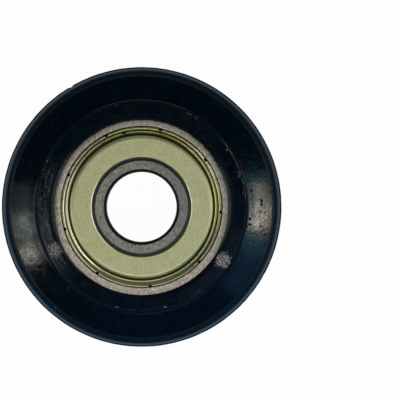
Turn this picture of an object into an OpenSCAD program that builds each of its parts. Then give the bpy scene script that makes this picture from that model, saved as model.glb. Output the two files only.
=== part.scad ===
// V rim wheel: a plastic tyre moulded round a shielded deep-groove ball bearing.
// The wheel turns about Z, and the origin is its centre, half way through its width.

/* [Tyre] */
// Diameter over the parting flash on the crown
wheel_d = 40; // [37:0.5:44]
// Diameter of the hub that the V rises from
hub_d = 30; // [28.5:0.5:33]
// Width of the hub across its two faces
hub_w = 9.8; // [8.8:0.1:12]
// Width of the V where it leaves the hub
vee_w = 7.16; // [6.2:0.02:8]
// Lean of each flank from a plane square to the axis, in degrees
flank_angle = 20.5; // [15:0.5:25]
// Height of the rounded crown beyond the straight flanks
crown_h = 1.18; // [0.8:0.02:1.6]
// Radius of the fillet at the foot of each flank
foot_fillet = 0.6; // [0.3:0.05:0.8]
// Radius of the hub's outer corners
hub_edge = 0.25; // [0.1:0.05:0.4]
// How far the lip round the bearing opens out up to the hub face
lip_flare = 0.65; // [0.3:0.05:0.9]
// Height of the flash along the parting line
flash_h = 0.14; // [0.06:0.02:0.2]
// Width of that flash
flash_w = 0.2; // [0.1:0.05:0.4]
// Width round the crown of the stub that the gate left
gate_w = 0.7; // [0.4:0.05:1]
// Height of that stub along the axis, from the parting line back
gate_h = 1.1; // [0.6:0.05:1.4]

/* [Bearing rings] */
// Diameter of the bore
bore_d = 10; // [9.5:0.1:10.5]
// Outer diameter of the bearing
ring_od = 26; // [25:0.1:27]
// Width of the bearing
ring_w = 8; // [7.6:0.1:8.6]
// Thickness of each ring at its shoulders
ring_wall = 2.4; // [2.2:0.05:2.6]
// Chamfer on the outer ring's outer corners
ring_chamfer = 0.4; // [0.2:0.05:0.6]
// Radius of the corner at each mouth of the bore
bore_corner = 0.45; // [0.2:0.05:0.6]
// Width from the bore to the rebate round the inner ring's faces
face_w = 1.62; // [1.4:0.02:1.9]
// Depth of that rebate, which the shield's edge covers
rebate_h = 0.8; // [0.7:0.05:1]

/* [Balls] */
// Number of balls
ball_count = 7; // [5:1:7]
// Diameter of a ball
ball_d = 4.7625; // [4.3:0.0125:5]
// Clearance between a ball and the bottom of each race
ball_gap = 0.02; // [0.01:0.005:0.05]
// Radius of the inner race as a share of the ball's diameter
inner_conformity = 0.515; // [0.505:0.005:0.53]
// Radius of the outer race as a share of the ball's diameter
outer_conformity = 0.525; // [0.505:0.005:0.54]

/* [Shields] */
// Thickness of the shield's sheet
shield_sheet = 0.25; // [0.2:0.05:0.35]
// Depth of the shield's flat below the ring faces
shield_recess = 0.25; // [0.15:0.05:0.35]
// Gap between the shield and the inner ring's face
shield_gap = 0.45; // [0.3:0.05:0.6]
// Drop from the shield's flat to its ledge
step_h = 0.65; // [0.5:0.05:0.8]
// Width of the slope between the flat and the ledge
step_run = 0.3; // [0.2:0.05:0.4]
// Radius of the sheet's inner side where the flat bends into the slope
flat_bend = 0.5; // [0.2:0.05:0.6]
// Radius of the sheet's inner side where the slope bends onto the ledge
ledge_bend = 0.3; // [0.1:0.05:0.4]
// Width of the ledge inside the hem
ledge_w = 0.43; // [0.3:0.05:0.5]
// Inner radius of the curled hem
hem_r = 0.11; // [0.08:0.01:0.16]
// Height of the hem's straight legs
hem_leg = 0.39; // [0.3:0.03:0.5]
// Number of slots round the hem
slot_count = 9; // [6:1:12]
// Width of a slot
slot_w = 0.45; // [0.3:0.05:0.6]
// Turn of the front shield's first slot from +X, in degrees
front_turn = -3.7; // [-20:0.1:20]
// Turn of the rear shield's first slot from +X, in degrees
rear_turn = 14; // [-20:0.1:20]
// Width of the outer ring outside the mouth that traps the hem
ring_land = 1.45; // [1.3:0.05:1.6]
// How much tighter that mouth is than the hem
snap = 0.06; // [0.03:0.01:0.1]
// Clearance round the hem in its groove
hem_gap = 0.04; // [0.02:0.01:0.08]
// Height of the groove's sloping lip over the hem
lip_h = 0.3; // [0.25:0.01:0.35]

/* [Cage] */
// Thickness of the cage's sheet
cage_sheet = 0.5; // [0.3:0.05:0.6]
// Clearance between the cage and the ring shoulders
cage_gap = 0.6; // [0.4:0.05:0.8]
// Clearance between a ball and its pocket
pocket_gap = 0.1; // [0.05:0.01:0.15]
// Diameter of a rivet's shank
rivet_d = 0.8; // [0.5:0.05:1]
// Diameter of a rivet's head
rivet_head_d = 1.4; // [1.1:0.05:1.5]
// Height of a rivet's head
rivet_head_h = 0.35; // [0.2:0.05:0.5]

/* [Hidden] */
$fn = 96;

plastic = [0.06, 0.09, 0.12];
ring_steel = [0.62, 0.61, 0.58];
zinc_yellow = [0.63, 0.62, 0.45];
cage_steel = [0.5, 0.5, 0.5];
ball_steel = [0.8, 0.8, 0.8];

hub_r = hub_d / 2;
hub_top = hub_w / 2;
bore_r = bore_d / 2;
ring_r = ring_od / 2;
ring_top = ring_w / 2;

// The crown's arc joins the ends of the flanks and touches the crown's diameter half way across.
crown_top_r = wheel_d / 2 - flash_h;
flank_end_r = crown_top_r - crown_h;
flank_end_z = vee_w / 2 - (flank_end_r - hub_r) * tan(flank_angle);
crown_r = (pow(flank_end_z, 2) + pow(crown_h, 2)) / (2 * crown_h);

// The balls run half way between the bore and the outside of the bearing.
pitch_r = (bore_r + ring_r) / 2;
inner_shoulder_r = bore_r + ring_wall;
outer_shoulder_r = ring_r - ring_wall;
inner_race_r = inner_conformity * ball_d;
outer_race_r = outer_conformity * ball_d;
inner_race_centre = pitch_r - ball_d / 2 - ball_gap + inner_race_r;
outer_race_centre = pitch_r + ball_d / 2 + ball_gap - outer_race_r;
rebate_r = bore_r + face_w;
rebate_z = ring_top - rebate_h;

// The shield steps down from its flat to a seat in the outer ring, and its hem is trapped there.
shield_top = ring_top - shield_recess;
seat_z = shield_top - step_h - shield_sheet;
mouth_r = ring_r - ring_land;
hem_outer = hem_r + shield_sheet;
hem_centre = mouth_r + snap - hem_outer;
hem_z = seat_z + hem_leg;

pocket_r = ball_d / 2 + pocket_gap;

// Points along an arc, with both ends.
function arc(centre, r, start, end, steps = 8) = [
    for (i = [0:steps])
        let (a = start + (end - start) * i / steps)
        [centre.x + r * cos(a), centre.y + r * sin(a)]
];

// Where the straight side from corner b towards a is left by an arc of radius r that rounds the corner.
function leaves(a, b, c, r) =
    let (u = (a - b) / norm(a - b), v = (c - b) / norm(c - b))
        b + u * r / tan(acos(u * v) / 2);

// The arc of radius r that rounds the corner at b, from the side towards a to the side towards c.
function bend(a, b, c, r, steps = 6) =
    let (
        first = leaves(a, b, c, r),
        last = leaves(c, b, a, r),
        middle = (first + last) / 2,
        centre = b + (middle - b) * pow(norm(first - b) / norm(middle - b), 2),
        start = atan2(first.y - centre.y, first.x - centre.x),
        swing = atan2(last.y - centre.y, last.x - centre.x) - start
    )
        arc(centre, r, start, start + swing - 360 * round(swing / 360), steps);

// An outline above the middle plane, closed by its own mirror image below it.
function both_halves(upper) = concat(
    upper,
    [for (i = [len(upper) - 1:-1:0]) [upper[i].x, -upper[i].y]]
);

// Copies to each ball's place, or with a turn of half a pitch to each rivet's.
module round_the_cage(turn = 0) {
    for (i = [0:ball_count - 1])
        rotate((i + turn) * 360 / ball_count) translate([pitch_r, 0, 0]) children();
}

module tyre() {
    foot_rise = foot_fillet * (1 - sin(flank_angle)) / cos(flank_angle);
    foot_centre = [hub_r + foot_fillet, vee_w / 2 + foot_rise];
    crown_centre = [crown_top_r - crown_r, 0];
    crown_start = atan2(flank_end_z, flank_end_r - crown_centre.x);
    crown_end = asin(flash_w / 2 / crown_r);
    gate_reach = wheel_d / 2 - flash_h / 4;
    color(plastic) {
        rotate_extrude() polygon(both_halves(concat(
            [
                [ring_r, ring_top - ring_chamfer],
                [ring_r - ring_chamfer, ring_top],
                [ring_r - ring_chamfer + lip_flare, hub_top]
            ],
            arc([hub_r - hub_edge, hub_top - hub_edge], hub_edge, 90, 0),
            arc(foot_centre, foot_fillet, 180, 270 - flank_angle),
            arc(crown_centre, crown_r, crown_start, crown_end, 14),
            [[wheel_d / 2, flash_w / 2]]
        )));
        // The gate's stub stands on the crown, cut back to just short of the flash's edge.
        translate([-gate_w / 2, flank_end_r, -gate_h])
            cube([gate_w, gate_reach - flank_end_r, gate_h]);
    }
}

module outer_ring() {
    groove_r = mouth_r + snap + hem_gap;
    color(ring_steel) rotate_extrude() difference() {
        polygon(both_halves([
            [outer_shoulder_r, seat_z],
            [groove_r, seat_z],
            [groove_r, hem_z],
            [mouth_r, hem_z + lip_h],
            [mouth_r, ring_top],
            [ring_r - ring_chamfer, ring_top],
            [ring_r, ring_top - ring_chamfer]
        ]));
        translate([outer_race_centre, 0]) circle(r = outer_race_r);
    }
}

module inner_ring() {
    color(ring_steel) rotate_extrude() difference() {
        polygon(both_halves(concat(
            arc([bore_r + bore_corner, ring_top - bore_corner], bore_corner, 180, 90),
            [
                [rebate_r, ring_top],
                [rebate_r, rebate_z],
                [inner_shoulder_r, rebate_z]
            ]
        )));
        translate([inner_race_centre, 0]) circle(r = inner_race_r);
    }
}

// A pressed shield as it lies in the front of the bearing, with its first slot on +X.
module shield() {
    inner_edge = rebate_r + shield_gap;
    leg = hem_centre - hem_outer;
    slope_bottom = leg - ledge_w;
    slope_top = slope_bottom - step_run;
    half_turn = atan2(step_h, step_run) / 2;
    under = shield_sheet * tan(half_turn);
    hem = [hem_centre, hem_z];
    ledge_z = seat_z + shield_sheet;
    under_z = shield_top - shield_sheet;

    // Corners of the visible side, then of the hidden one, which the bends round.
    flat_start = [inner_edge, shield_top];
    slope_start = [slope_top, shield_top];
    slope_end = [slope_bottom, ledge_z];
    ledge_end = [leg, ledge_z];
    seat_start = [hem_centre - hem_r, seat_z];
    seat_end = [slope_bottom - under, seat_z];
    under_start = [slope_top - under, under_z];
    under_end = [inner_edge, under_z];

    // The bends shrink where the slope is too short for both.
    room = 0.98 * norm([step_run, step_h]) / tan(half_turn) - shield_sheet;
    share = min(1, room / (flat_bend + ledge_bend));
    flat_r = share * flat_bend;
    ledge_r = share * ledge_bend;
    foot_r = min(hem_r, ledge_w - ledge_r * tan(half_turn));
    color(zinc_yellow) difference() {
        rotate_extrude() polygon(concat(
            [flat_start],
            bend(flat_start, slope_start, slope_end, flat_r + shield_sheet),
            bend(slope_start, slope_end, ledge_end, ledge_r),
            bend(slope_end, ledge_end, hem - [hem_outer, 0], foot_r, 3),
            arc(hem, hem_outer, 180, 0),
            [
                [hem_centre + hem_outer, seat_z],
                [hem_centre + hem_r, seat_z]
            ],
            arc(hem, hem_r, 0, 180),
            [seat_start],
            bend(seat_start, seat_end, under_start, ledge_r + shield_sheet),
            bend(seat_end, under_start, under_end, flat_r),
            [under_end]
        ));
        for (i = [0:slot_count - 1])
            rotate(i * 360 / slot_count)
                translate([hem_centre - hem_r, -slot_w / 2, seat_z - hem_outer])
                cube([2 * hem_outer, slot_w, 2 * ring_w]);
    }
}

module front_shield() {
    rotate(front_turn) shield();
}

module rear_shield() {
    rotate(rear_turn) mirror([0, 0, 1]) shield();
}

// One pressed half of the cage, in front of the middle plane.
module cage_half() {
    pocket_outer = pocket_r + cage_sheet;
    color(cage_steel) difference() {
        intersection() {
            union() {
                cylinder(r = ring_r, h = cage_sheet);
                round_the_cage() sphere(r = pocket_outer);
            }
            difference() {
                cylinder(r = outer_shoulder_r - cage_gap, h = pocket_outer);
                translate([0, 0, -cage_sheet])
                    cylinder(r = inner_shoulder_r + cage_gap, h = pocket_outer + 2 * cage_sheet);
            }
        }
        round_the_cage() sphere(r = pocket_r);
        round_the_cage(0.5) cylinder(d = rivet_d, h = 4 * cage_sheet, center = true);
    }
}

module cage_front() {
    cage_half();
}

module cage_rear() {
    mirror([0, 0, 1]) cage_half();
}

// The rivets pass through both halves, with a domed head on each side.
module cage_rivets() {
    dome_r = (pow(rivet_head_d / 2, 2) + pow(rivet_head_h, 2)) / (2 * rivet_head_h);
    dome_centre = [0, cage_sheet + rivet_head_h - dome_r];
    dome_start = asin((dome_r - rivet_head_h) / dome_r);
    color(ring_steel) round_the_cage(0.5) rotate_extrude() polygon(both_halves(concat(
        [for (p = arc(dome_centre, dome_r, 90, dome_start, 6)) [max(p.x, 0), p.y]],
        [[rivet_d / 2, cage_sheet]]
    )));
}

module ball(i) {
    color(ball_steel) rotate((i - 1) * 360 / ball_count) translate([pitch_r, 0, 0]) sphere(d = ball_d);
}

tyre();
outer_ring();
inner_ring();
front_shield();
rear_shield();
cage_front();
cage_rear();
cage_rivets();
for (i = [1:ball_count])
    ball(i);
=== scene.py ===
"""A plastic V rim wheel moulded round a shielded ball bearing, lying on a pale floor and seen from above."""

import math

import bpy
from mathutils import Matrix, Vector, noise


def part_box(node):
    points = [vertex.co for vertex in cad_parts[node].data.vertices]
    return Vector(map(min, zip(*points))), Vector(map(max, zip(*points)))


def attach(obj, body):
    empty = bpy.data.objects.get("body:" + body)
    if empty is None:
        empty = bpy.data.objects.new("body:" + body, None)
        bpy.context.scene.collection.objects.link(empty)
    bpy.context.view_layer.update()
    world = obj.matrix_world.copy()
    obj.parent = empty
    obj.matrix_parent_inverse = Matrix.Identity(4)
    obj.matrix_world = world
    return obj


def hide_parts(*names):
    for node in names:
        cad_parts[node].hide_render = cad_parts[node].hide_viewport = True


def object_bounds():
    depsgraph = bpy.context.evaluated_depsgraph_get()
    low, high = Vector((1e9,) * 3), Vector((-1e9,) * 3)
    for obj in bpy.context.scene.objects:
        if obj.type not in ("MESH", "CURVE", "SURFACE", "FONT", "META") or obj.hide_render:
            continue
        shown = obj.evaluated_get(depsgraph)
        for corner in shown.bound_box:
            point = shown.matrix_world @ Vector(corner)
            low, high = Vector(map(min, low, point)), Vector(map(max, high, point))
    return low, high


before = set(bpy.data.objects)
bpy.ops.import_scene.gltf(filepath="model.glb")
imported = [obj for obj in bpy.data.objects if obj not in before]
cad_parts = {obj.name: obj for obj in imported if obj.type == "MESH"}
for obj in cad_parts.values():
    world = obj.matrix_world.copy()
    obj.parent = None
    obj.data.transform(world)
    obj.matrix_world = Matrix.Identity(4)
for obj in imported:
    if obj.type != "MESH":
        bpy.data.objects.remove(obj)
cad_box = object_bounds()

MM = 0.001
WHITE = (1.0, 1.0, 1.0)
SHARP_ANGLE = math.radians(32)

# Sizes in millimetres. The outer ones come from the frame, the others repeat the solids'.
WHEEL_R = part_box("tyre")[1].x / MM
HUB_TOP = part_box("tyre")[1].z / MM
RING_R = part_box("outer_ring")[1].x / MM
RING_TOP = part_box("outer_ring")[1].z / MM
INNER_SHOULDER_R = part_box("inner_ring")[1].x / MM
SHIELD_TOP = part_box("front_shield")[1].z / MM
SEAT_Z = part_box("front_shield")[0].z / MM

# Tyre: hub, V, crown, parting flash, gate stub, and the lip that closes over the ring
HUB_R = 15.0
HUB_EDGE = 0.25
VEE_TOP = 3.58
FLANK_ANGLE = math.radians(20.5)
FLANK_BULGE = 0.03
FOOT_FILLET = 0.6
CROWN_H = 1.18
CROWN_BLEND = 0.35
FLASH_H = 0.14
FLASH_W = 0.2
FLASH_ROUND = 0.04
GATE_W = 0.7
GATE_H = 1.1
LIP_REACH = 0.07
LIP_FLARE = 0.65
LIP_SINK = 0.015
LIP_EDGE_H = 0.03
LIP_EDGE_ROUND = 0.012
LIP_FOOT_H = 0.06
LIP_FOOT_ROUND = 0.02
LIP_MOUTH_ROUND = 0.1

# Bearing rings, with the groove that holds each shield. A race is the radius of its centre and its own.
RING_CHAMFER = 0.4
RING_ROUND = 0.05
BORE_R = 5.0
BORE_CORNER = 0.45
REBATE_R = 6.62
REBATE_Z = 3.2
REBATE_ROUND = 0.08
OUTER_SHOULDER_R = 10.6
INNER_RACE = (9.0515, 2.4527)
OUTER_RACE = (8.901, 2.5003)
GROOVE_R = 11.65
GROOVE_ROUND = 0.04
MOUTH_R = 11.55
MOUTH_ROUND = 0.03
GROOVE_LIP_H = 0.3

# Shields
SHEET = 0.25
STEP_H = 0.65
STEP_RUN = 0.3
FLAT_BEND = 0.5
LEDGE_BEND = 0.3
LEDGE_W = 0.43
SHIELD_GAP = 0.45
BURNISHED_EDGE = 0.14
SHEARED_EDGE = 0.05
HEM_CENTRE = 11.25
HEM_R = 0.11
HEM_Z = 3.24
HEM_ROUND = 0.03
HEM_LEG = HEM_CENTRE - HEM_R - SHEET
SLOTS = 9
SLOT_W = 0.45
SLOT_UNDER = 0.4
SLOT_OVER = 1.2
FRONT_TURN = math.radians(-3.7)
REAR_TURN = math.radians(14)

# Steps along the rounded corners and arcs, and round the axis. Corners up to SMALL_ROUND get fewer.
SMALL_ROUND = 0.2
SMALL_ROUND_STEPS = 5
ROUND_STEPS = 9
CROWN_STEPS = 22
RACE_STEPS = 24
HEM_OUTER_STEPS = 14
HEM_INNER_STEPS = 8
TYRE_SEGMENTS = 640
RING_SEGMENTS = 360
SHIELD_SEGMENTS = 360


# Outlines and turned meshes

def arc(centre, radius, start, end, steps):
    """Points along an arc in the (r, z) plane, with both ends, for angles in radians."""
    angles = [start + (end - start) * i / steps for i in range(steps + 1)]
    return [(centre[0] + radius * math.cos(a), centre[1] + radius * math.sin(a)) for a in angles]


def sharp_corners(points):
    """Points as corners that aren't rounded."""
    return [(r, z, 0) for r, z in points]


def rounded(corners):
    """The closed outline through corners (r, z, radius), with each corner rounded by its radius."""
    points = []
    for i, (r, z, radius) in enumerate(corners):
        if not radius:
            points.append((r, z))
            continue
        here = Vector((r, z))
        steps = ROUND_STEPS if radius > SMALL_ROUND else SMALL_ROUND_STEPS
        back = (Vector(corners[i - 1][:2]) - here).normalized()
        ahead = (Vector(corners[(i + 1) % len(corners)][:2]) - here).normalized()
        half = back.angle(ahead) / 2
        centre = here + (back + ahead).normalized() * radius / math.sin(half)
        start = here + back * radius / math.tan(half) - centre
        turn = start.angle_signed(here + ahead * radius / math.tan(half) - centre)
        for k in range(steps + 1):
            a = -turn * k / steps
            points.append((
                centre.x + start.x * math.cos(a) - start.y * math.sin(a),
                centre.y + start.x * math.sin(a) + start.y * math.cos(a),
            ))
    return points


def supported(points, edge=0.03, step=0.45):
    """Adds points close to both ends of each straight stretch and along it, so that it shades flat."""
    out = []
    for i, p in enumerate(points):
        q = points[(i + 1) % len(points)]
        length = math.dist(p, q)
        out.append(p)
        if length > 4 * edge:
            inner = length - 2 * edge
            pieces = max(1, math.ceil(inner / step))
            for k in range(pieces + 1):
                t = (edge + inner * k / pieces) / length
                out.append((p[0] + (q[0] - p[0]) * t, p[1] + (q[1] - p[1]) * t))
    return out


def mirrored(corners):
    """The same corners below the middle plane, in the order that closes the outline."""
    return [(c[0], -c[1], *c[2:]) for c in reversed(corners)]


def new_object(name, verts, faces):
    """A mesh object in the scene, from vertices in metres."""
    mesh = bpy.data.meshes.new(name)
    mesh.from_pydata(verts, [], faces)
    thing = bpy.data.objects.new(name, mesh)
    bpy.context.scene.collection.objects.link(thing)
    return thing


def finish_mesh(piece):
    """Turns every face outwards and shades the mesh smooth, apart from its sharp edges."""
    mesh = piece.data
    bpy.context.view_layer.objects.active = piece
    piece.select_set(True)
    bpy.ops.object.mode_set(mode="EDIT")
    bpy.ops.mesh.select_all(action="SELECT")
    bpy.ops.mesh.normals_make_consistent(inside=False)
    bpy.ops.object.mode_set(mode="OBJECT")
    piece.select_set(False)
    mesh.shade_smooth()
    mesh.set_sharp_from_angle(angle=SHARP_ANGLE)


def lathe(name, outline, segments, shape=None):
    """Turns a closed outline in millimetres round Z. shape(angle, r, z) may move each point in (r, z)."""
    verts = []
    for s in range(segments):
        a = 2 * math.pi * s / segments
        for r, z in outline:
            if shape:
                r, z = shape(a, r, z)
            verts.append((r * math.cos(a) * MM, r * math.sin(a) * MM, z * MM))
    n = len(outline)
    faces = []
    for s in range(segments):
        t = (s + 1) % segments
        for i in range(n):
            j = (i + 1) % n
            faces.append((s * n + i, t * n + i, t * n + j, s * n + j))
    piece = new_object(name, verts, faces)
    piece.data.validate()
    finish_mesh(piece)
    return piece


def smooth_step(low, high, value):
    """0 at or under low, 1 at or over high, with a smooth step between them."""
    t = min(1, max(0, (value - low) / (high - low)))
    return t * t * (3 - 2 * t)


def ripple(angle, cycles, offset):
    """Smooth noise from -1 to 1 round a circle, with about that many cycles."""
    return noise.noise(Vector((math.cos(angle) * cycles / 3, math.sin(angle) * cycles / 3, offset)))


def degrees_from(angle, target):
    """How far an angle in radians is from a target in degrees, in degrees."""
    return abs((math.degrees(angle) - target + 180) % 360 - 180)


# Camera, floor, sky and lamps

CAMERA_HEIGHT = 1.0
SENSOR_WIDTH = 36
CLIP_START = 0.01
VIEW_WIDTH = 0.0572
VIEW_CENTRE = (0.00834, 0.00099)

camera = bpy.data.objects.new("camera", bpy.data.cameras.new("camera"))
camera.data.sensor_width = SENSOR_WIDTH
camera.data.lens = SENSOR_WIDTH * CAMERA_HEIGHT / VIEW_WIDTH
camera.data.clip_start = CLIP_START
camera.location = (*VIEW_CENTRE, CAMERA_HEIGHT)
bpy.context.scene.collection.objects.link(camera)
bpy.context.scene.camera = camera
bpy.context.scene.view_settings.view_transform = "Standard"

# Where the Mix node keeps its factor and its two colours among its inputs, and the result in its outputs
MIX_FACTOR = 0
MIX_COLOURS = (6, 7)
MIX_RESULT = 2


class Nodes:
    """Short calls for the nodes of one tree. A socket links, and anything else is set as a value."""

    def __init__(self, tree):
        self.tree = tree

    def put(self, target, value):
        if isinstance(value, bpy.types.NodeSocket):
            self.tree.links.new(value, target)
        else:
            target.default_value = value

    def node(self, kind, inputs=(), **settings):
        node = self.tree.nodes.new("ShaderNode" + kind)
        for key, value in settings.items():
            setattr(node, key, value)
        for key, value in dict(inputs).items():
            self.put(node.inputs[key], value)
        return node

    def math(self, operation, *values):
        return self.node("Math", enumerate(values), operation=operation).outputs[0]

    def joined(self, operation, values):
        """One value from several, by an operation on two at a time."""
        result = values[0]
        for value in values[1:]:
            result = self.math(operation, result, value)
        return result

    def add(self, *values):
        return self.joined("ADD", values)

    def times(self, *values):
        return self.joined("MULTIPLY", values)

    def largest(self, *values):
        return self.joined("MAXIMUM", values)

    def vector_math(self, operation, inputs):
        return self.node("VectorMath", inputs, operation=operation).outputs

    def ramp(self, value, low, high, start=0.0, end=1.0):
        """start at or under low and end at or over high, with a smooth step between them."""
        return self.node("MapRange", {
            "Value": value, "From Min": low, "From Max": high, "To Min": start, "To Max": end,
        }, interpolation_type="SMOOTHSTEP").outputs["Result"]

    def fall(self, value, low, high):
        """1 at or under low and 0 at or over high, with a smooth step between them."""
        return self.ramp(value, low, high, 1.0, 0.0)

    def between(self, value, low, high, soft):
        """1 from low to high, 0 further out than soft."""
        return self.times(self.ramp(value, low - soft, low), self.fall(value, high, high + soft))

    def mix(self, factor, *colours):
        mixer = self.node("Mix", data_type="RGBA")
        self.put(mixer.inputs[MIX_FACTOR], factor)
        for index, colour in zip(MIX_COLOURS, colours):
            self.put(mixer.inputs[index], (*colour, 1.0) if isinstance(colour, tuple) else colour)
        return mixer.outputs[MIX_RESULT]

    def mix_shaders(self, factor, first, second):
        return self.node("MixShader", {0: factor, 1: first.outputs[0], 2: second.outputs[0]}).outputs[0]


# The floor is pale, keeps a soft shadow, and is lifted to white where it is seen. Gloss sees it tinted, by
# one colour near the wheel and another away from it: the first row is the side of -Y, the second that of +Y.
# Distances along X are shortened, so the near colour reaches further there.
FLOOR_GAP = 0.00002
FLOOR_Z = cad_box[0].z - FLOOR_GAP
FLOOR_HALF = 4.0
FLOOR_GREY = (0.8, 0.8, 0.8, 1)
FLOOR_LIFT = 0.97
REFLECTED_LIFT = 0.9
REFLECTED_NEAR_R = 0.026
REFLECTED_FAR_R = 0.0355
REFLECTED_STRETCH = (0.78, 1.0, 1.0)
REFLECTED_TINTS = (
    ((0.46, 0.76, 1.0), (0.0, 0.13, 0.38)),
    ((0.54, 0.68, 0.8), (0.05, 0.13, 0.2)),
)


def shown_background(nodes, seen, reflected):
    """seen for the camera's rays, reflected for gloss and for what passes through glass, and 0 for light."""
    path = nodes.node("LightPath").outputs
    passed = nodes.largest(path["Is Glossy Ray"], path["Is Transmission Ray"])
    return nodes.largest(nodes.times(path["Is Camera Ray"], seen), nodes.times(passed, reflected))


def floor_material():
    material = bpy.data.materials.new("floor")
    material.use_nodes = True
    nodes = Nodes(material.node_tree)
    place = nodes.node("TexCoord").outputs["Object"]
    stretched = nodes.vector_math("MULTIPLY", {0: place, 1: REFLECTED_STRETCH})[0]
    from_axis = nodes.vector_math("LENGTH", {0: stretched})["Value"]
    away = nodes.ramp(from_axis, REFLECTED_NEAR_R, REFLECTED_FAR_R)
    across = nodes.node("SeparateXYZ", {0: place}).outputs["Y"]
    upper_side = nodes.ramp(across, -WHEEL_R * MM, WHEEL_R * MM)
    tint = nodes.mix(upper_side, *[nodes.mix(away, near, far) for near, far in REFLECTED_TINTS])
    seen = nodes.node("LightPath").outputs["Is Camera Ray"]
    cover = nodes.node("BsdfDiffuse", {"Color": FLOOR_GREY})
    lift = nodes.node("Emission", {"Color": nodes.mix(seen, tint, WHITE), "Strength": 1.0})
    mixed = nodes.mix_shaders(shown_background(nodes, FLOOR_LIFT, REFLECTED_LIFT), cover, lift)
    nodes.put(material.node_tree.nodes["Material Output"].inputs["Surface"], mixed)
    return material


square = ((-1, -1), (1, -1), (1, 1), (-1, 1))
floor = new_object("floor", [(x * FLOOR_HALF, y * FLOOR_HALF, FLOOR_Z) for x, y in square], [(0, 1, 2, 3)])
floor.data.materials.append(floor_material())

# The sky is dark above, where the flat faces and the flanks look, and paler along the horizon. The camera
# sees it white.
SKY = (
    # lowest height of the direction, brightness
    (0.00, 0.30),
    (0.28, 0.15),
    (0.50, 0.01),
    (1.00, 0.01),
)
SKY_TINT = (0.6, 0.9, 1.15)

world = bpy.data.worlds.new("studio")
bpy.context.scene.world = world
world.use_nodes = True
nodes = Nodes(world.node_tree)
height = nodes.node("SeparateXYZ", {0: nodes.node("TexCoord").outputs["Generated"]}).outputs["Z"]
sky = nodes.node("ValToRGB", {0: height})
sky.color_ramp.interpolation = "EASE"
stops = sky.color_ramp.elements
for index, (lowest, level) in enumerate(SKY):
    stop = stops[index] if index < len(stops) else stops.new(lowest)
    stop.position = lowest
    stop.color = (*[level * share for share in SKY_TINT], 1)
lit = nodes.node("Background", {"Color": sky.outputs[0], "Strength": 1.0})
white = nodes.node("Background", {"Color": (*WHITE, 1), "Strength": 1.0})
mixed = nodes.mix_shaders(nodes.node("LightPath").outputs["Is Camera Ray"], lit, white)
nodes.put(world.node_tree.nodes["World Output"].inputs["Surface"], mixed)

LAMP_DISTANCE = 0.8
LAMPS = (
    # name, azimuth, angle from +Z, half width and half height in degrees, radiance, colour
    ("box_right", -7, 40.2, 4, 2.4, 18.0, (0.97, 1.0, 0.95)),
    ("box_right_outer", -4.5, 42.3, 6, 1.7, 21.0, (1.0, 0.76, 0.56)),
    ("box_right_upper", 4.5, 42.0, 7, 2.0, 9.5, (1.0, 0.88, 0.74)),
    ("box_right_wide", 3, 40, 15, 3.2, 1.7, (0.05, 0.9, 1.0)),
    ("blue_low", 331, 42, 16, 4, 1.2, (0.28, 0.5, 1.0)),
    ("teal_low", 341, 41.5, 5, 3, 1.6, (0.05, 0.9, 1.0)),
    ("box_left", 189.5, 42.8, 5.6, 2.5, 10.0, (0.94, 1.0, 0.92)),
    ("box_left_low", 202.5, 43.6, 3.6, 1.5, 32.0, (1.0, 0.98, 0.84)),
    ("box_left_wide", 177, 42.8, 7, 2.5, 1.7, (0.8, 0.94, 1.0)),
    ("fill_right", 0, 64, 20, 14, 2.3, (0.85, 0.95, 1.0)),
    ("fill_left", 190, 64, 22, 14, 2.3, (0.85, 0.97, 1.0)),
    ("key_low", 262, 20, 36, 6, 8.2, (1.0, 1.0, 1.0)),
    ("key_high", 28, 20, 20, 5, 6.5, (0.95, 0.98, 1.0)),
    ("fill_high", 90, 67, 26, 10, 1.1, (0.9, 0.97, 1.0)),
    ("fill_low", 285, 66, 24, 9, 1.2, (0.3, 0.6, 1.0)),
)


def direction(azimuth, polar):
    """A unit vector at an azimuth round Z and an angle down from +Z, both in degrees."""
    a, p = math.radians(azimuth), math.radians(polar)
    return Vector((math.sin(p) * math.cos(a), math.sin(p) * math.sin(a), math.cos(p)))


def add_lamp(name, azimuth, polar, half_width, half_height, radiance, colour):
    """A soft box LAMP_DISTANCE away that faces the origin, its width running round Z."""
    width = 2 * LAMP_DISTANCE * math.sin(math.radians(polar)) * math.tan(math.radians(half_width))
    height = 2 * LAMP_DISTANCE * math.tan(math.radians(half_height))
    data = bpy.data.lights.new(name, "AREA")
    data.shape = "RECTANGLE"
    data.size, data.size_y = width, height
    data.energy = radiance * math.pi * width * height
    data.color = colour
    lamp = bpy.data.objects.new(name, data)
    bpy.context.scene.collection.objects.link(lamp)
    lamp.location = direction(azimuth, polar) * LAMP_DISTANCE
    lamp.rotation_mode = "QUATERNION"
    lamp.rotation_quaternion = (-lamp.location).to_track_quat("-Z", "Y")


for row in LAMPS:
    add_lamp(*row)


# Pieces

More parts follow.
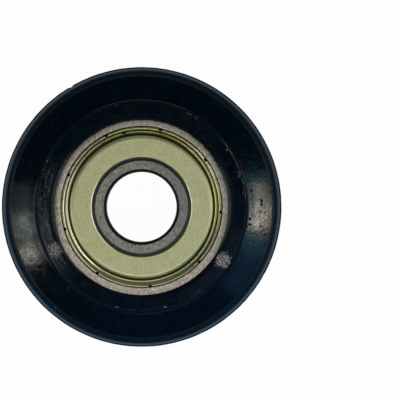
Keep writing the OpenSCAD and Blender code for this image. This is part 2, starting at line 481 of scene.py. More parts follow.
def tyre_outline():
    crown_top = WHEEL_R - FLASH_H
    flank_end_r = crown_top - CROWN_H
    flank_end_z = VEE_TOP - (flank_end_r - HUB_R) * math.tan(FLANK_ANGLE)
    crown_radius = (flank_end_z ** 2 + CROWN_H ** 2) / (2 * CROWN_H)
    crown_centre = (crown_top - crown_radius, 0)
    start = math.atan2(flank_end_z, flank_end_r - crown_centre[0])
    crown = arc(crown_centre, crown_radius, start, math.asin(FLASH_W / 2 / crown_radius), CROWN_STEPS)
    ring_edge = RING_R - RING_CHAMFER
    upper = [
        (RING_R, RING_TOP - RING_CHAMFER, 0),
        (ring_edge - LIP_REACH, RING_TOP - LIP_SINK, 0),
        (ring_edge - LIP_REACH, RING_TOP + LIP_EDGE_H, LIP_EDGE_ROUND),
        (ring_edge, RING_TOP + LIP_FOOT_H, LIP_FOOT_ROUND),
        (ring_edge + LIP_FLARE, HUB_TOP, LIP_MOUTH_ROUND),
        (HUB_R, HUB_TOP, HUB_EDGE),
        (HUB_R, VEE_TOP, FOOT_FILLET),
        (*crown[0], CROWN_BLEND),
        *sharp_corners(crown[1:]),
        (WHEEL_R, FLASH_W / 2, FLASH_ROUND),
    ]
    return supported(rounded(upper + mirrored(upper)))


# Marks on the tyre. Lengths are in millimetres, angles in degrees, cycles are counted round the axis, and a
# seed picks a part of the noise. A pair of angles is where a mark starts to fade and where it has gone.
TOLERANCE = 0.02
# The lip is torn all round, apart from one stretch in front (1) and one behind (-1).
WHOLE_LIP = {1: 267.5, -1: 80}
WHOLE_LIP_HALF = (58, 78)
TEAR_DEPTH = 0.13
TEETH_DEPTH, TEETH_CYCLES, TEETH_SEED = 0.11, 240, 3.1
WAVE_DEPTH, WAVE_CYCLES, WAVE_SEED = 0.07, 70, 7.7
# The flank bulges between the foot's fillet and the crown.
BULGE_START = 0.5
# Nicks on the hub's corners
NICK_DEPTH, NICK_CYCLES, NICK_SEED = 0.05, 170, 11.3
CORNER_CORE = 0.1
# The flash is uneven, and was knocked down to a stump at one place.
FLASH_LOW_SHARE = 0.9
FLASH_CYCLES, FLASH_SEED = 60, 1.7
FLASH_STUMP = 0.012
FLASH_BASE = 0.01
KNOCK_AZIMUTH = 120.5
KNOCK_HALF = (0.2, 1.4)
GATE_AZIMUTH = 90
GATE_SOFT = 0.4


def tear(angle, side):
    """How far the lip's thin edge is torn back."""
    torn = smooth_step(*WHOLE_LIP_HALF, degrees_from(angle, WHOLE_LIP[side]))
    teeth = smooth_step(-0.4, 0.6, ripple(angle, TEETH_CYCLES, TEETH_SEED * side))
    waves = ripple(angle, WAVE_CYCLES, WAVE_SEED * side)
    return torn * (TEAR_DEPTH + TEETH_DEPTH * teeth + WAVE_DEPTH * waves)


def flash_left(angle):
    """The share of the flash's height that is left."""
    uneven = smooth_step(-0.3, 0.3, ripple(angle, FLASH_CYCLES, FLASH_SEED))
    spared = smooth_step(*KNOCK_HALF, degrees_from(angle, KNOCK_AZIMUTH))
    return spared * (FLASH_LOW_SHARE + (1 - FLASH_LOW_SHARE) * uneven)


def tyre_shape(angle, r, z):
    """Moves a point of the outline: bulged flank, torn lip, nicked corner, uneven flash, gate stub."""
    side = 1 if z > 0 else -1
    if r < RING_R - RING_CHAMFER + TOLERANCE and abs(z) > RING_TOP - TOLERANCE:
        r -= tear(angle, side)
    if HUB_R + BULGE_START < r < WHEEL_R - CROWN_H:
        t = (r - HUB_R) / (WHEEL_R - CROWN_H - HUB_R)
        z += side * FLANK_BULGE * math.sin(math.pi * t)
    corner_r, corner_z = HUB_R - HUB_EDGE, HUB_TOP - HUB_EDGE
    outside_core = math.hypot(r - corner_r, abs(z) - corner_z) > CORNER_CORE
    if outside_core and r > corner_r - TOLERANCE and abs(z) > corner_z - TOLERANCE:
        nick = smooth_step(0.2, 0.6, ripple(angle, NICK_CYCLES, NICK_SEED * side)) * NICK_DEPTH
        r -= nick
        z -= side * nick
    if r > WHEEL_R - FLASH_H + FLASH_BASE:
        r -= (1 - flash_left(angle)) * (FLASH_H - FLASH_STUMP)
    if -GATE_H < z < 0 and r > WHEEL_R - CROWN_H:
        half = math.degrees(GATE_W / 2 / WHEEL_R)
        stub = 1 - smooth_step(half, half + GATE_SOFT, degrees_from(angle, GATE_AZIMUTH))
        r += stub * max(0, WHEEL_R - FLASH_H / 4 - r)
    return r, z


def race(centre, radius, shoulder):
    """The race's arc between its two shoulders, from the upper one down."""
    if shoulder > centre:
        half = math.acos((shoulder - centre) / radius)
        end = -half
    else:
        half = math.pi - math.acos((centre - shoulder) / radius)
        end = 2 * math.pi - half
    return sharp_corners(arc((centre, 0), radius, half, end, RACE_STEPS))


def outer_ring_outline():
    upper = [
        (OUTER_SHOULDER_R, SEAT_Z, RING_ROUND),
        (GROOVE_R, SEAT_Z, GROOVE_ROUND),
        (GROOVE_R, HEM_Z, MOUTH_ROUND),
        (MOUTH_R, HEM_Z + GROOVE_LIP_H, MOUTH_ROUND),
        (MOUTH_R, RING_TOP, RING_ROUND),
        (RING_R - RING_CHAMFER, RING_TOP, RING_ROUND),
        (RING_R, RING_TOP - RING_CHAMFER, RING_ROUND),
    ]
    return supported(rounded(upper + mirrored(upper) + race(*OUTER_RACE, OUTER_SHOULDER_R)[::-1]))


def inner_ring_outline():
    upper = [
        (INNER_SHOULDER_R, REBATE_Z, RING_ROUND),
        (REBATE_R, REBATE_Z, RING_ROUND),
        (REBATE_R, RING_TOP, REBATE_ROUND),
        (BORE_R, RING_TOP, BORE_CORNER),
    ]
    return supported(rounded(upper + mirrored(upper) + race(*INNER_RACE, INNER_SHOULDER_R)[::-1]))


def shield_outline():
    """The front shield's section, from its inner edge out to the hem and back underneath."""
    inner_edge = REBATE_R + SHIELD_GAP
    slope_bottom = HEM_LEG - LEDGE_W
    slope_top = slope_bottom - STEP_RUN
    under = SHEET * math.tan(math.atan2(STEP_H, STEP_RUN) / 2)
    hem = (HEM_CENTRE, HEM_Z)
    corners = [
        (inner_edge, SHIELD_TOP, BURNISHED_EDGE),
        (slope_top, SHIELD_TOP, FLAT_BEND + SHEET),
        (slope_bottom, SEAT_Z + SHEET, LEDGE_BEND),
        (HEM_LEG, SEAT_Z + SHEET, HEM_R),
        *sharp_corners(arc(hem, HEM_R + SHEET, math.pi, 0, HEM_OUTER_STEPS)),
        (HEM_CENTRE + HEM_R + SHEET, SEAT_Z, HEM_ROUND),
        (HEM_CENTRE + HEM_R, SEAT_Z, HEM_ROUND),
        *sharp_corners(arc(hem, HEM_R, 0, math.pi, HEM_INNER_STEPS)),
        (HEM_CENTRE - HEM_R, SEAT_Z, HEM_ROUND),
        (slope_bottom - under, SEAT_Z, LEDGE_BEND + SHEET),
        (slope_top - under, SHIELD_TOP - SHEET, FLAT_BEND),
        (inner_edge, SHIELD_TOP - SHEET, SHEARED_EDGE),
    ]
    return supported(rounded(corners))


# The faces of a box whose corners run round its lower end and then round its upper end
BOX_FACES = ((0, 1, 2, 3), (4, 5, 6, 7), (0, 1, 5, 4), (1, 2, 6, 5), (2, 3, 7, 6), (3, 0, 4, 7))


def cut_slots(piece, turn, side):
    """Cuts the slots round the hem. side is 1 for the front shield and -1 for the rear one."""
    verts, faces = [], []
    low, high = HEM_CENTRE - HEM_R, HEM_CENTRE + HEM_R + 2 * SHEET
    for k in range(SLOTS):
        a = turn + 2 * math.pi * k / SLOTS
        along, across = Vector((math.cos(a), math.sin(a), 0)), Vector((-math.sin(a), math.cos(a), 0))
        first = len(verts)
        for z in (SEAT_Z - SLOT_UNDER, SEAT_Z + SLOT_OVER):
            for r, w in ((low, -1), (high, -1), (high, 1), (low, 1)):
                verts.append((along * r + across * w * SLOT_W / 2 + Vector((0, 0, side * z))) * MM)
        faces += [[first + i for i in face] for face in BOX_FACES]
    cutter = new_object("slots", verts, faces)
    finish_mesh(cutter)
    cut = piece.modifiers.new("slots", "BOOLEAN")
    cut.operation, cut.solver, cut.object = "DIFFERENCE", "EXACT", cutter
    bpy.context.view_layer.objects.active = piece
    bpy.ops.object.modifier_apply(modifier=cut.name)
    bpy.data.objects.remove(cutter)
    piece.data.set_sharp_from_angle(angle=SHARP_ANGLE)


tyre = lathe("wheel_tyre", tyre_outline(), TYRE_SEGMENTS, tyre_shape)
outer_ring = lathe("bearing_outer_ring", outer_ring_outline(), RING_SEGMENTS)
inner_ring = lathe("bearing_inner_ring", inner_ring_outline(), RING_SEGMENTS)
front_shield = lathe("shield_front", shield_outline(), SHIELD_SEGMENTS)
cut_slots(front_shield, FRONT_TURN, 1)
rear_shield = lathe("shield_rear", [(r, -z) for r, z in shield_outline()], SHIELD_SEGMENTS)
cut_slots(rear_shield, REAR_TURN, -1)


# Materials. Their sectors are an azimuth, a half width and a soft edge, in degrees, and their spots an
# azimuth in degrees, then a radius, a size and a soft edge in millimetres.

class Surface(Nodes):
    """A Principled material. Lengths in its tree are in millimetres."""

    def __init__(self, name, **constants):
        self.material = bpy.data.materials.new(name)
        self.material.use_nodes = True
        super().__init__(self.material.node_tree)
        self.shader = self.tree.nodes["Principled BSDF"]
        for key, value in constants.items():
            self.shader.inputs[key.replace("_", " ")].default_value = value
        place = self.node("TexCoord").outputs["Object"]
        self.point = self.vector_math("SCALE", {0: place, "Scale": 1 / MM})[0]
        self.x, self.y, self.z = self.node("SeparateXYZ", {0: self.point}).outputs
        self.radius = self.length(self.x, self.y)
        self.height = self.math("ABSOLUTE", self.z)
        self.cos = self.math("DIVIDE", self.x, self.radius)
        self.sin = self.math("DIVIDE", self.y, self.radius)

    def length(self, x, y):
        return self.math("SQRT", self.add(self.times(x, x), self.times(y, y)))

    def combine(self, x, y, z):
        return self.node("CombineXYZ", {0: x, 1: y, 2: z}).outputs[0]

    def noise(self, scale, detail=2, rough=0.6, vector=None, warp=0.0):
        """Noise from 0 to 1, with about scale cells to the millimetre."""
        return self.node("TexNoise", {
            "Vector": vector or self.point, "Scale": scale, "Detail": detail, "Roughness": rough,
            "Distortion": warp,
        }).outputs["Fac"]

    def marks(self, coordinates, detail=2, rough=0.6):
        """Noise from 0 to 1 in coordinates that stretch it."""
        return self.noise(1, detail, rough, coordinates)

    def turned(self, round_scale, cross_scale, shift=0.0):
        """Coordinates for marks that run round the axis: round_scale along them, cross_scale across."""
        return self.combine(
            self.times(self.cos, round_scale), self.times(self.sin, round_scale),
            self.add(self.times(self.radius, cross_scale), shift))

    def ground(self, degrees, along, across):
        """Coordinates for straight marks that run at an angle from +X."""
        a = math.radians(degrees)
        return self.combine(
            self.add(self.times(self.x, math.cos(a) * along), self.times(self.y, math.sin(a) * along)),
            self.add(self.times(self.x, -math.sin(a) * across), self.times(self.y, math.cos(a) * across)),
            self.times(self.z, along))

    def tinted(self, colour, scale, amount, detail=1.0):
        """A colour whose red, green and blue each vary by their own noise, up to that share."""
        cloud = self.node("TexNoise", {"Vector": self.point, "Scale": scale, "Detail": detail})
        lift = self.vector_math("MULTIPLY_ADD", {
            0: cloud.outputs["Color"], 1: (2 * amount,) * 3, 2: (1 - amount,) * 3})[0]
        return self.vector_math("MULTIPLY", {0: colour, 1: lift})[0]

    def inverse(self, mask):
        """1 where a mask is 0, and 0 where it is 1."""
        return self.add(1.0, self.times(mask, -1.0))

    def centred(self, noise_value, amount):
        """Noise turned into a value about 0, times amount."""
        return self.times(self.add(noise_value, -0.5), amount)

    def dots(self, scale, size, share):
        """1 in scattered spots of up to that size, from a share of scale cells to the millimetre."""
        cells = self.node("TexVoronoi", {"Vector": self.point, "Scale": scale}).outputs
        picked = self.node("SeparateColor", {0: cells["Color"]}).outputs[0]
        used = self.math("GREATER_THAN", picked, 1 - share)
        return self.times(used, self.fall(cells["Distance"], 0.4 * size * scale, size * scale))

    def spot(self, azimuth, radius, size, soft):
        """1 within size of a place on the face, 0 beyond size and soft."""
        a = math.radians(azimuth)
        gap = self.length(self.add(self.x, -radius * math.cos(a)), self.add(self.y, -radius * math.sin(a)))
        return self.fall(gap, size, size + soft)

    def sector(self, azimuth, half, soft):
        """1 within half of an azimuth, 0 beyond half and soft, in degrees."""
        a = math.radians(azimuth)
        along = self.add(self.times(self.cos, math.cos(a)), self.times(self.sin, math.sin(a)))
        return self.ramp(along, math.cos(math.radians(half + soft)), math.cos(math.radians(half)))

    def sectors(self, *places):
        """1 within any of some sectors."""
        return self.largest(*[self.sector(*place) for place in places])

    def layered(self, colour, *layers):
        """The colour under layers, each a mask, the share that it covers where it is 1, and its colour."""
        for mask, share, cover in layers:
            colour = self.mix(self.times(mask, share), colour, cover)
        return colour

    def finish(self, colour, roughness, height):
        """Sets the shader's colour, roughness and relief, with height in millimetres."""
        self.put(self.shader.inputs["Base Color"], colour)
        self.put(self.shader.inputs["Roughness"], roughness)
        bump = self.node("Bump", {"Height": height, "Distance": MM, "Strength": 1.0})
        self.put(self.shader.inputs["Normal"], bump.outputs[0])
        return self.material


PLASTIC_IOR = 1.49
# On the hub's faces: turned scratches painted pale on the side where light catches them, painted sheen, and
# two painted glints
SCRATCHED_LIT_SIDE = (186, 20, 18)
# Painted sheen on the hub's faces, round the glints
SHEEN_LEFT = (206, 12, 18)
SHEEN_LEFT_SHARE = 0.6
SHEEN_RIGHT = (-38, 14, 20)
# Two painted glints on the hub's faces
GLINT_LEFT = (206.5, 13.6, 0.2, 1.9)
GLINT_RIGHT = (-33.2, 13.85, 0.3, 1.8)
# Painted highlight along the hub's outer edge, where light catches it, broken up like chips
EDGE_HIGHLIGHT_SIDE = (22, 13, 8)
EDGE_HIGHLIGHT_SPOT = (13.5, 0.6, 0.6)
FAINT_EDGE_HIGHLIGHTS = ((62, 5, 3), (109, 10, 4), (176, 22, 6))
# Painted sheen on the lip, and pale specks, pits, a dusty film with a painted highlight, and blue marks on
# the flanks
LIP_SHEEN_SIDES = ((0, 12, 22), (178, 16, 26), (216, 6, 10))
SPECKLED = ((24, 14, 12), (150, 20, 20))
PITTED = (-3, 12, 6)
# A dusty film with the tan of a painted highlight, where the right flank catches the light
FILM_AND_HIGHLIGHT_SIDE = (-2, 8, 10)
FILM_AND_HIGHLIGHT_BAND = (16.7, 17.9, 0.5)
BLUE_MARKS = ((228, 15.6, 0.02, 0.4), (229.5, 18.9, 0.02, 0.4))
# Where the flank turns into the crown
BLEND_BAND = (18.68, 18.9, 0.1)

BLACK, NAVY = (0.0003, 0.0028, 0.0052), (0.0009, 0.0043, 0.0078)
# One side of the plastic is painted bluer, as a reflection of bluish light
BLUE_REFLECTION_SIDE, BLUE_REFLECTION_BLACK = (295, 40, 50), (0.0004, 0.0048, 0.0115)
GLINT_SHEEN = (0.0095, 0.0125, 0.0195)
SCRATCH_GLINT_GREY = (0.09, 0.105, 0.125)
GLINT_GREY = (0.46, 0.41, 0.39)
EDGE_HIGHLIGHT_GREY = (0.22, 0.22, 0.22)
SPECK_GREY = (0.08, 0.10, 0.11)
LIP_SHEEN_GREY = (0.075, 0.08, 0.075)
FILM_AND_HIGHLIGHT_TAN = (0.085, 0.068, 0.055)
MARK_BLUE = (0.0, 0.04, 0.065)


def plastic(name, specular, dull):
    """Glossy blue-black plastic with its wear, and with painted light: glints, sheen, an edge highlight and a
    bluer side. dull is added to its roughness.
    """
    s = Surface(name, Specular_IOR_Level=specular, IOR=PLASTIC_IOR)
    cloud = s.noise(0.5, 3, warp=1.2)
    blotches = s.noise(0.8, 3, 0.62)
    mottle = s.noise(2.6, 3)
    grain = s.noise(9)
    lines = s.marks(s.turned(22, 12))
    arcs = s.marks(s.turned(2.5, 10, 8), 1, 0.5)
    fine_lines = s.marks(s.turned(30, 20, 5))
    ground_lines = s.marks(s.ground(-52, 1.2, 9), 3, 0.65)
    teeth = s.marks(s.turned(26, 6, 2))
    along_edge = s.marks(s.turned(22, 0))
    face = s.ramp(s.height, HUB_TOP - 0.06, HUB_TOP - 0.02)
    hub = s.times(face, s.between(s.radius, RING_R + 0.3, HUB_R - 0.1, 0.2))
    flank = s.between(s.radius, HUB_R + 0.4, WHEEL_R - CROWN_H, 0.3)

    # turned scratches, painted pale as glints on the side where light catches them, painted sheen on the
    # hub's faces, and two painted glints with strokes in them
    scratched_lit_side = s.times(hub, s.sector(*SCRATCHED_LIT_SIDE))
    scratches_and_glints = s.times(scratched_lit_side, s.largest(s.ramp(lines, 0.54, 0.7), s.times(s.ramp(arcs, 0.57, 0.66), 0.6)))
    # painted sheen on the hub's faces round the glints
    sheen_places = s.largest(s.times(s.sector(*SHEEN_LEFT), SHEEN_LEFT_SHARE), s.sector(*SHEEN_RIGHT))
    glint_sheen = s.times(hub, sheen_places, s.ramp(mottle, 0.3, 0.7, 0.5, 1.0))
    ragged = s.centred(mottle, 1.3)
    left_glint, right_glint = [
        s.ramp(s.add(s.spot(*place), ragged), 0.3, 0.85) for place in (GLINT_LEFT, GLINT_RIGHT)]
    glints = s.times(s.ramp(s.height, RING_TOP + 0.3, RING_TOP + 0.5), s.largest(left_glint, right_glint))
    left_glint_strokes = s.times(left_glint, s.ramp(fine_lines, 0.42, 0.66))
    right_glint_strokes = s.times(right_glint, s.ramp(ground_lines, 0.4, 0.6))
    # painted glints, drawn as pale strokes
    strokes = s.times(glints, s.largest(left_glint_strokes, right_glint_strokes))

    # painted highlight along the hub's outer edge, broken up like chips
    edge = s.times(
        s.between(s.radius, HUB_R - 0.1, HUB_R - 0.06, 0.03), s.ramp(s.height, HUB_TOP - 0.2, HUB_TOP - 0.12))
    long_edge_highlight = s.times(s.sector(*EDGE_HIGHLIGHT_SIDE), s.ramp(along_edge, 0.36, 0.6, 0.15, 0.75))
    faint_edge_highlights = s.times(s.sectors(*FAINT_EDGE_HIGHLIGHTS), s.ramp(along_edge, 0.56, 0.66))
    edge_highlight = s.times(edge, s.largest(long_edge_highlight, s.sector(*EDGE_HIGHLIGHT_SPOT), faint_edge_highlights))

    # pale specks, pits and a thin dusty film with a painted highlight on the flanks, and painted sheen on the
    # lip, broken up like scuffs
    specks = s.times(s.dots(2.2, 0.07, 0.3), s.largest(hub, s.times(flank, s.sectors(*SPECKLED))))
    pits = s.times(flank, s.sector(*PITTED), s.dots(1.4, 0.24, 0.45))
    film_and_highlight = s.times(
        s.sector(*FILM_AND_HIGHLIGHT_SIDE), s.between(s.radius, *FILM_AND_HIGHLIGHT_BAND), s.ramp(mottle, 0.34, 0.6, 0.2, 1.0),
        s.ramp(grain, 0.3, 0.6, 0.5, 1.0), s.ramp(cloud, 0.34, 0.56, 0.3, 1.0), s.inverse(pits))
    lip = s.times(
        s.fall(s.radius, RING_R - 0.37, RING_R - 0.05),
        s.ramp(s.height, RING_TOP + 0.01, RING_TOP + 0.05))
    lip_sheen = s.times(lip, s.ramp(teeth, 0.3, 0.7, 0.35, 1.0), s.sectors(*LIP_SHEEN_SIDES))

    # the plastic's own colour, painted bluer on one side as a reflection, under the marks and painted light
    # above
    colour = s.layered(
        s.mix(s.ramp(blotches, 0.3, 0.72), BLACK, NAVY),
        (s.sector(*BLUE_REFLECTION_SIDE), 0.7, BLUE_REFLECTION_BLACK),
        (glint_sheen, 0.8, GLINT_SHEEN),
        (scratches_and_glints, 0.8, SCRATCH_GLINT_GREY),
        (strokes, 0.8, s.tinted(GLINT_GREY, 3.5, 0.5)),
        (edge_highlight, 0.75, EDGE_HIGHLIGHT_GREY),
        (specks, 0.4, SPECK_GREY),
        (lip_sheen, 0.8, LIP_SHEEN_GREY),
        (film_and_highlight, 0.4, FILM_AND_HIGHLIGHT_TAN),
        *[(s.spot(*place), s.ramp(mottle, 0.4, 0.6), MARK_BLUE) for place in BLUE_MARKS])
    colour = s.tinted(colour, 4.5, 1.3, 2)
    roughness = s.add(
        0.145 + dull, s.centred(cloud, 0.3), s.centred(mottle, 0.22), s.times(pits, 0.5),
        s.times(scratches_and_glints, 0.1), s.times(specks, 0.2), s.times(lip_sheen, 0.25), s.times(strokes, 0.2),
        s.times(s.between(s.radius, *BLEND_BAND), 0.32),
        s.ramp(s.radius, WHEEL_R - 0.36, WHEEL_R - 0.2, 0.0, 0.5))
    relief = s.add(
        s.centred(mottle, 0.004), s.centred(blotches, 0.011), s.centred(grain, 0.001), s.times(pits, -0.02),
        s.times(scratched_lit_side, s.centred(lines, 0.03)), s.times(glints, s.centred(fine_lines, 0.03)),
        s.times(hub, s.centred(lines, 0.006)))
    return s.finish(colour, roughness, relief)


# Bare steel and zinc are dulled a little by oxide.
METALLIC = 0.85
# Painted shade: the outer ring's face darkens outwards between two radii, next to the lip, less so on the
# lower side, which is lit more, and more so on two others.
RING_DARK_FROM, RING_DARK_TO = 11.75, 12.5
RING_LIT_SIDE, RING_LIT_SHARE = (262, 40, 40), 0.75
RING_SHADED_SIDES = ((152, 32, 20), (32, 10, 16))
# One side is painted greyer, as shade
RING_GREYER_SHADED_SIDE = (60, 65, 40)
RING_DARK, RING_PALE = (0.168, 0.147, 0.122), (0.689, 0.63, 0.521)
RING_SHADE = (0.218, 0.185, 0.16)
RING_BROWN = (0.37, 0.277, 0.218)
RING_GREY_SHADE = (0.118, 0.126, 0.109)
RING_OUTER_SHADE = (0.118, 0.113, 0.099)
RING_DEEP_SHADE = (0.059, 0.059, 0.05)
GROOVE_SHADE = (0.0034, 0.0034, 0.0034)


def ring_steel():
    """Ground steel of the outer ring, with straight strokes across its face and painted shade near its edge
    and in its groove.
    """
    s = Surface("ring_steel", Metallic=METALLIC)
    strokes = s.marks(s.ground(70, 1.5, 5.0), 3, 0.65)
    fine = s.marks(s.ground(66, 1.8, 14))
    cloud = s.noise(1.3, 3)
    flecks = s.noise(7)
    outer_shade = s.times(
        s.ramp(s.radius, RING_DARK_FROM, RING_DARK_TO),
        s.add(1.0, s.times(s.sector(*RING_LIT_SIDE), -RING_LIT_SHARE)))
    # painted shade in the groove under the shield's hem, seen through its slots
    groove_top = HEM_Z + GROOVE_LIP_H
    groove_shade = s.times(
        s.fall(s.height, groove_top - 0.02, groove_top + 0.03),
        s.ramp(s.radius, OUTER_SHOULDER_R - 0.1, OUTER_SHOULDER_R))
    colour = s.layered(
        s.mix(s.ramp(strokes, 0.32, 0.68), RING_DARK, RING_PALE),
        (s.ramp(fine, 0.46, 0.64), 0.5, RING_SHADE),
        (s.ramp(cloud, 0.42, 0.6), 0.5, RING_BROWN),
        # painted shade on one side, and outwards next to the lip
        (s.sector(*RING_GREYER_SHADED_SIDE), 0.3, RING_GREY_SHADE),
        (outer_shade, 0.75, RING_OUTER_SHADE),
        (s.times(outer_shade, s.sectors(*RING_SHADED_SIDES)), 0.5, RING_DEEP_SHADE))
    colour = s.layered(s.tinted(colour, 4.5, 0.35), (groove_shade, 1.0, GROOVE_SHADE))
    roughness = s.add(0.42, s.centred(fine, 0.2), s.centred(flecks, 0.12), s.times(groove_shade, 0.4))
    relief = s.add(s.centred(strokes, 0.008), s.centred(fine, 0.004), s.centred(flecks, 0.002))
    return s.finish(colour, roughness, relief)


INNER_GREY_SIDE = (20, 45, 30)
INNER_DARK, INNER_PALE = (0.08, 0.084, 0.067), (0.302, 0.298, 0.252)
INNER_STROKE = (0.386, 0.361, 0.302)
INNER_CLOUD = (0.143, 0.155, 0.143)
INNER_GREY = (0.109, 0.118, 0.105)
REBATE_SHADE = (0.038, 0.042, 0.038)
BORE_SHADE = (0.01, 0.0092, 0.0084)


def inner_steel():
    """Flecked steel of the inner ring, with painted shade in its rebate and in its bore."""
    s = Surface("inner_ring_steel", Metallic=METALLIC)
    flecks = s.noise(3.4, 3, 0.65)
    cloud = s.noise(1.0, 3)
    strokes = s.marks(s.ground(62, 1.0, 7))
    # painted shade in the rebate, under the shield
    rebate_shade = s.times(
        s.fall(s.height, RING_TOP - 0.15, RING_TOP - 0.05),
        s.ramp(s.radius, REBATE_R - 0.06, REBATE_R - 0.02))
    # painted shade round the bore's edge
    bore_shade = s.fall(s.radius, BORE_R + 0.34, BORE_R + 0.5)
    colour = s.layered(
        s.mix(s.ramp(flecks, 0.28, 0.72), INNER_DARK, INNER_PALE),
        (s.ramp(strokes, 0.5, 0.68), 0.4, INNER_STROKE),
        (s.ramp(cloud, 0.42, 0.6), 0.5, INNER_CLOUD),
        (s.sector(*INNER_GREY_SIDE), 0.3, INNER_GREY))
    colour = s.layered(
        s.tinted(colour, 3.6, 0.3),
        (rebate_shade, 1.0, REBATE_SHADE),
        (bore_shade, 1.0, BORE_SHADE))
    roughness = s.add(0.42, s.centred(flecks, 0.2), s.centred(strokes, 0.1), s.times(bore_shade, 0.1))
    relief = s.add(s.centred(flecks, 0.006), s.centred(strokes, 0.003))
    return s.finish(colour, roughness, relief)


# Sides of the shield and places on it
LEFT_SIDE, RIGHT_SIDE, LOW_SIDE = (192, 32, 18), (0, 16, 16), (270, 26, 26)
GOLDEN_SIDE, GOLDEN_ARC = (0, 10, 8), (60, 60, 30)
LEDGE_SHADE_SIDE, BROWN_SIDE = (92, 14, 22), (66, 8, 10)
CREST_SHADED_SIDE = (92, 30, 25)
RUST = (121.5, 10.75, 0.2, 0.35)
HOLES = ((102.8, 10.83, 0.15, 0.1), (104.2, 10.83, 0.1, 0.1), (137.8, 10.82, 0.06, 0.1))
# Radii on it: the start of its bends, its slope, its ledge, its inner edge, and its hem's crest and outside
BEND_FROM, BEND_TO = 9.9, 10.3
SLOPE_FROM = 10.1
LEDGE_FROM = 10.42
SHIELD_EDGE_FROM, SHIELD_EDGE_TO = 7.2, 7.27
CREST_BAND = (11.06, 11.3, 0.08)
HEM_DARK_FROM, HEM_DARK_TO = 11.36, 11.45
ZINC_DARK, ZINC_PALE = (0.294, 0.29, 0.139), (0.504, 0.5, 0.281)
ZINC_CLOUD = (0.47, 0.462, 0.269)
ZINC_HIGHLIGHT = (1.0, 0.95, 0.62)
ZINC_GOLD = (0.437, 0.336, 0.084)
LEDGE_GREEN_SHADE = (0.143, 0.202, 0.042)
LEDGE_BROWN = (0.227, 0.16, 0.034)
LEDGE_OLIVE_SHADE = (0.134, 0.126, 0.05)
RUST_BROWN = (0.353, 0.134, 0.05)
CREST_OLIVE_SHADE = (0.134, 0.13, 0.05)
SLOPE_SHADE = (0.042, 0.036, 0.01)
HEM_SHADE = (0.034, 0.029, 0.0084)
HOLE_BLACK = (0.0034, 0.0034, 0.0025)


def zinc():
    """Yellow zinc on the shields: grainy on the flat, with painted highlights and painted shade by turns over
    the bends and hem.
    """
    s = Surface("shield_zinc", Metallic=METALLIC)
    grain = s.noise(6.5, 3, 0.7)
    cloud = s.noise(0.6, 2, 0.5)
    rubs = s.marks(s.turned(10, 8))
    patches = s.marks(s.turned(6, 1.5, 4))
    formed = s.ramp(s.radius, BEND_FROM, BEND_TO)
    ledge = s.between(s.radius, HEM_LEG - LEDGE_W, HEM_LEG - 0.04, 0.06)
    foot = s.between(s.radius, HEM_LEG - 0.05, HEM_LEG + 0.12, 0.05)
    # painted shade down the slope of the step
    slope_shade = s.times(
        s.between(s.height, SEAT_Z + SHEET + 0.08, SHIELD_TOP - 0.25, 0.08),
        s.between(s.radius, SLOPE_FROM, HEM_LEG - 0.1, 0.04))
    left_side, right_side, low_side = s.sector(*LEFT_SIDE), s.sector(*RIGHT_SIDE), s.sector(*LOW_SIDE)

    # painted highlights on the lit sides, where the slope meets the ledge and along the inner edge, and
    # golden tints on the bends
    inner_edge = s.fall(s.radius, SHIELD_EDGE_FROM, SHIELD_EDGE_TO)
    painted_highlights = s.largest(
        s.times(left_side, s.between(s.radius, LEDGE_FROM, HEM_LEG - 0.12, 0.06)),
        s.times(s.largest(left_side, right_side), inner_edge))
    golden_arc = s.times(s.sector(*GOLDEN_ARC), s.ramp(patches, 0.4, 0.6))
    golden = s.times(formed, s.largest(s.sector(*GOLDEN_SIDE), golden_arc))

    # painted shade on the hem's crest, at its foot and down its outer side
    crest_shade = s.times(s.between(s.radius, *CREST_BAND), s.largest(s.sector(*CREST_SHADED_SIDE), low_side))
    # painted shade at the hem's foot and down its outer side, apart from the low side
    outside = s.ramp(s.radius, HEM_DARK_FROM, HEM_DARK_TO)
    dark = s.times(s.largest(foot, outside), s.fall(low_side, 0.0, 1.0))
    holes = s.largest(*[s.spot(*place) for place in HOLES])

    colour = s.layered(
        s.mix(s.ramp(grain, 0.25, 0.75), ZINC_DARK, ZINC_PALE),
        (s.ramp(cloud, 0.4, 0.7), 0.3, ZINC_CLOUD))
    colour = s.layered(
        s.tinted(colour, 5.5, 0.3),
        (painted_highlights, 0.95, ZINC_HIGHLIGHT),
        (golden, 0.45, ZINC_GOLD),
        # painted shade on the ledge, on its side away from the lamps
        (s.times(ledge, s.sector(*LEDGE_SHADE_SIDE)), 0.75, LEDGE_GREEN_SHADE),
        (s.times(ledge, s.sector(*BROWN_SIDE)), 0.6, LEDGE_BROWN),
        (s.spot(*RUST), 0.8, RUST_BROWN),
        # painted shade on the ledge on the low side
        (s.times(ledge, low_side), 0.6, LEDGE_OLIVE_SHADE),
        (crest_shade, 0.75, CREST_OLIVE_SHADE),
        (slope_shade, 0.88, SLOPE_SHADE),
        (dark, 0.96, HEM_SHADE),
        (holes, 1.0, HOLE_BLACK))
    roughness = s.add(
        0.46, s.times(formed, -0.16), s.times(foot, 0.25), s.centred(grain, 0.2), s.centred(rubs, 0.06))
    relief = s.add(s.centred(grain, 0.008), s.centred(rubs, 0.002))
    return s.finish(colour, roughness, relief)


def plain_steel(name, light, dark, roughness, relief):
    """A worked steel for the cage, its rivets and the balls."""
    s = Surface(name, Metallic=1.0)
    cloud = s.noise(2.5, 3)
    flecks = s.noise(14)
    return s.finish(
        s.mix(s.ramp(cloud, 0.3, 0.7), dark, light),
        s.add(roughness, s.centred(flecks, 0.1)),
        s.add(s.centred(flecks, relief), s.centred(cloud, relief)))


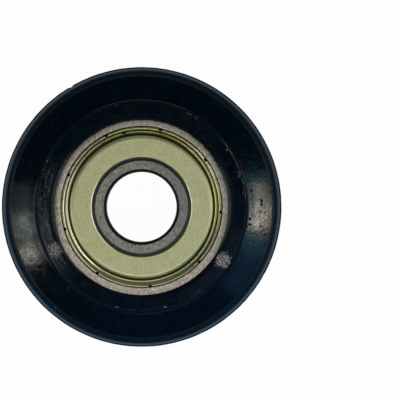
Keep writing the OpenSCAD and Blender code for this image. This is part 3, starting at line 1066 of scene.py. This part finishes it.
def dress(piece, material, body, slot, *nodes):
    """Gives a new piece its material and says which body it rides on and which solids it stands for."""
    piece.data.materials.clear()
    piece.data.materials.append(material)
    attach(piece, body)
    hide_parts(*nodes)


# Fresh and worn plastic: how much it reflects, and what is added to its roughness. The lip on the bearing,
# the hub's corners and the flash are worn.
FRESH = (0.2, 0.0)
WORN = (0.06, 0.25)
WORN_LIP_R = RING_R - RING_CHAMFER + LIP_FLARE + 0.04
WORN_CORNER_R = HUB_R - HUB_EDGE - 0.03
WORN_CORNER_Z = VEE_TOP + 0.9
WORN_FLASH_R = WHEEL_R - FLASH_H - 0.01

shield_coat = zinc()
dress(tyre, plastic("tyre_plastic", *FRESH), "wheel", "tyre_plastic", "tyre")
tyre.data.materials.append(plastic("tyre_plastic_worn", *WORN))
for face in tyre.data.polygons:
    height_in = abs(face.center.z) / MM
    radius = math.hypot(face.center.x, face.center.y) / MM
    on_lip = height_in > RING_TOP and radius < WORN_LIP_R
    on_corner = height_in > WORN_CORNER_Z and radius > WORN_CORNER_R
    on_flash = radius > WORN_FLASH_R
    face.material_index = 1 if on_lip or on_corner or on_flash else 0
dress(outer_ring, ring_steel(), "wheel", "ring_steel", "outer_ring")
dress(inner_ring, inner_steel(), "inner_race", "ring_steel", "inner_ring")
dress(front_shield, shield_coat, "wheel", "shield_zinc", "front_shield")
dress(rear_shield, shield_coat, "wheel", "shield_zinc", "rear_shield")

# The solids inside the bearing keep their shapes and get a steel each.
cage_steel = plain_steel("cage_steel", (0.42, 0.42, 0.41), (0.25, 0.25, 0.25), 0.38, 0.004)
rivet_steel = plain_steel("rivet_steel", (0.5, 0.49, 0.47), (0.32, 0.31, 0.3), 0.32, 0.003)
ball_steel = plain_steel("ball_steel", (0.62, 0.62, 0.62), (0.5, 0.5, 0.5), 0.12, 0.0002)
STEELS = (
    # start of the node's name, its material; the first row that fits counts
    ("ball_", ball_steel),
    ("cage_rivets", rivet_steel),
    ("cage_", cage_steel),
)
for name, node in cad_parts.items():
    fitting = [steel for start, steel in STEELS if name.startswith(start)]
    if fitting:
        for material_slot in node.material_slots:
            material_slot.material = fitting[0]
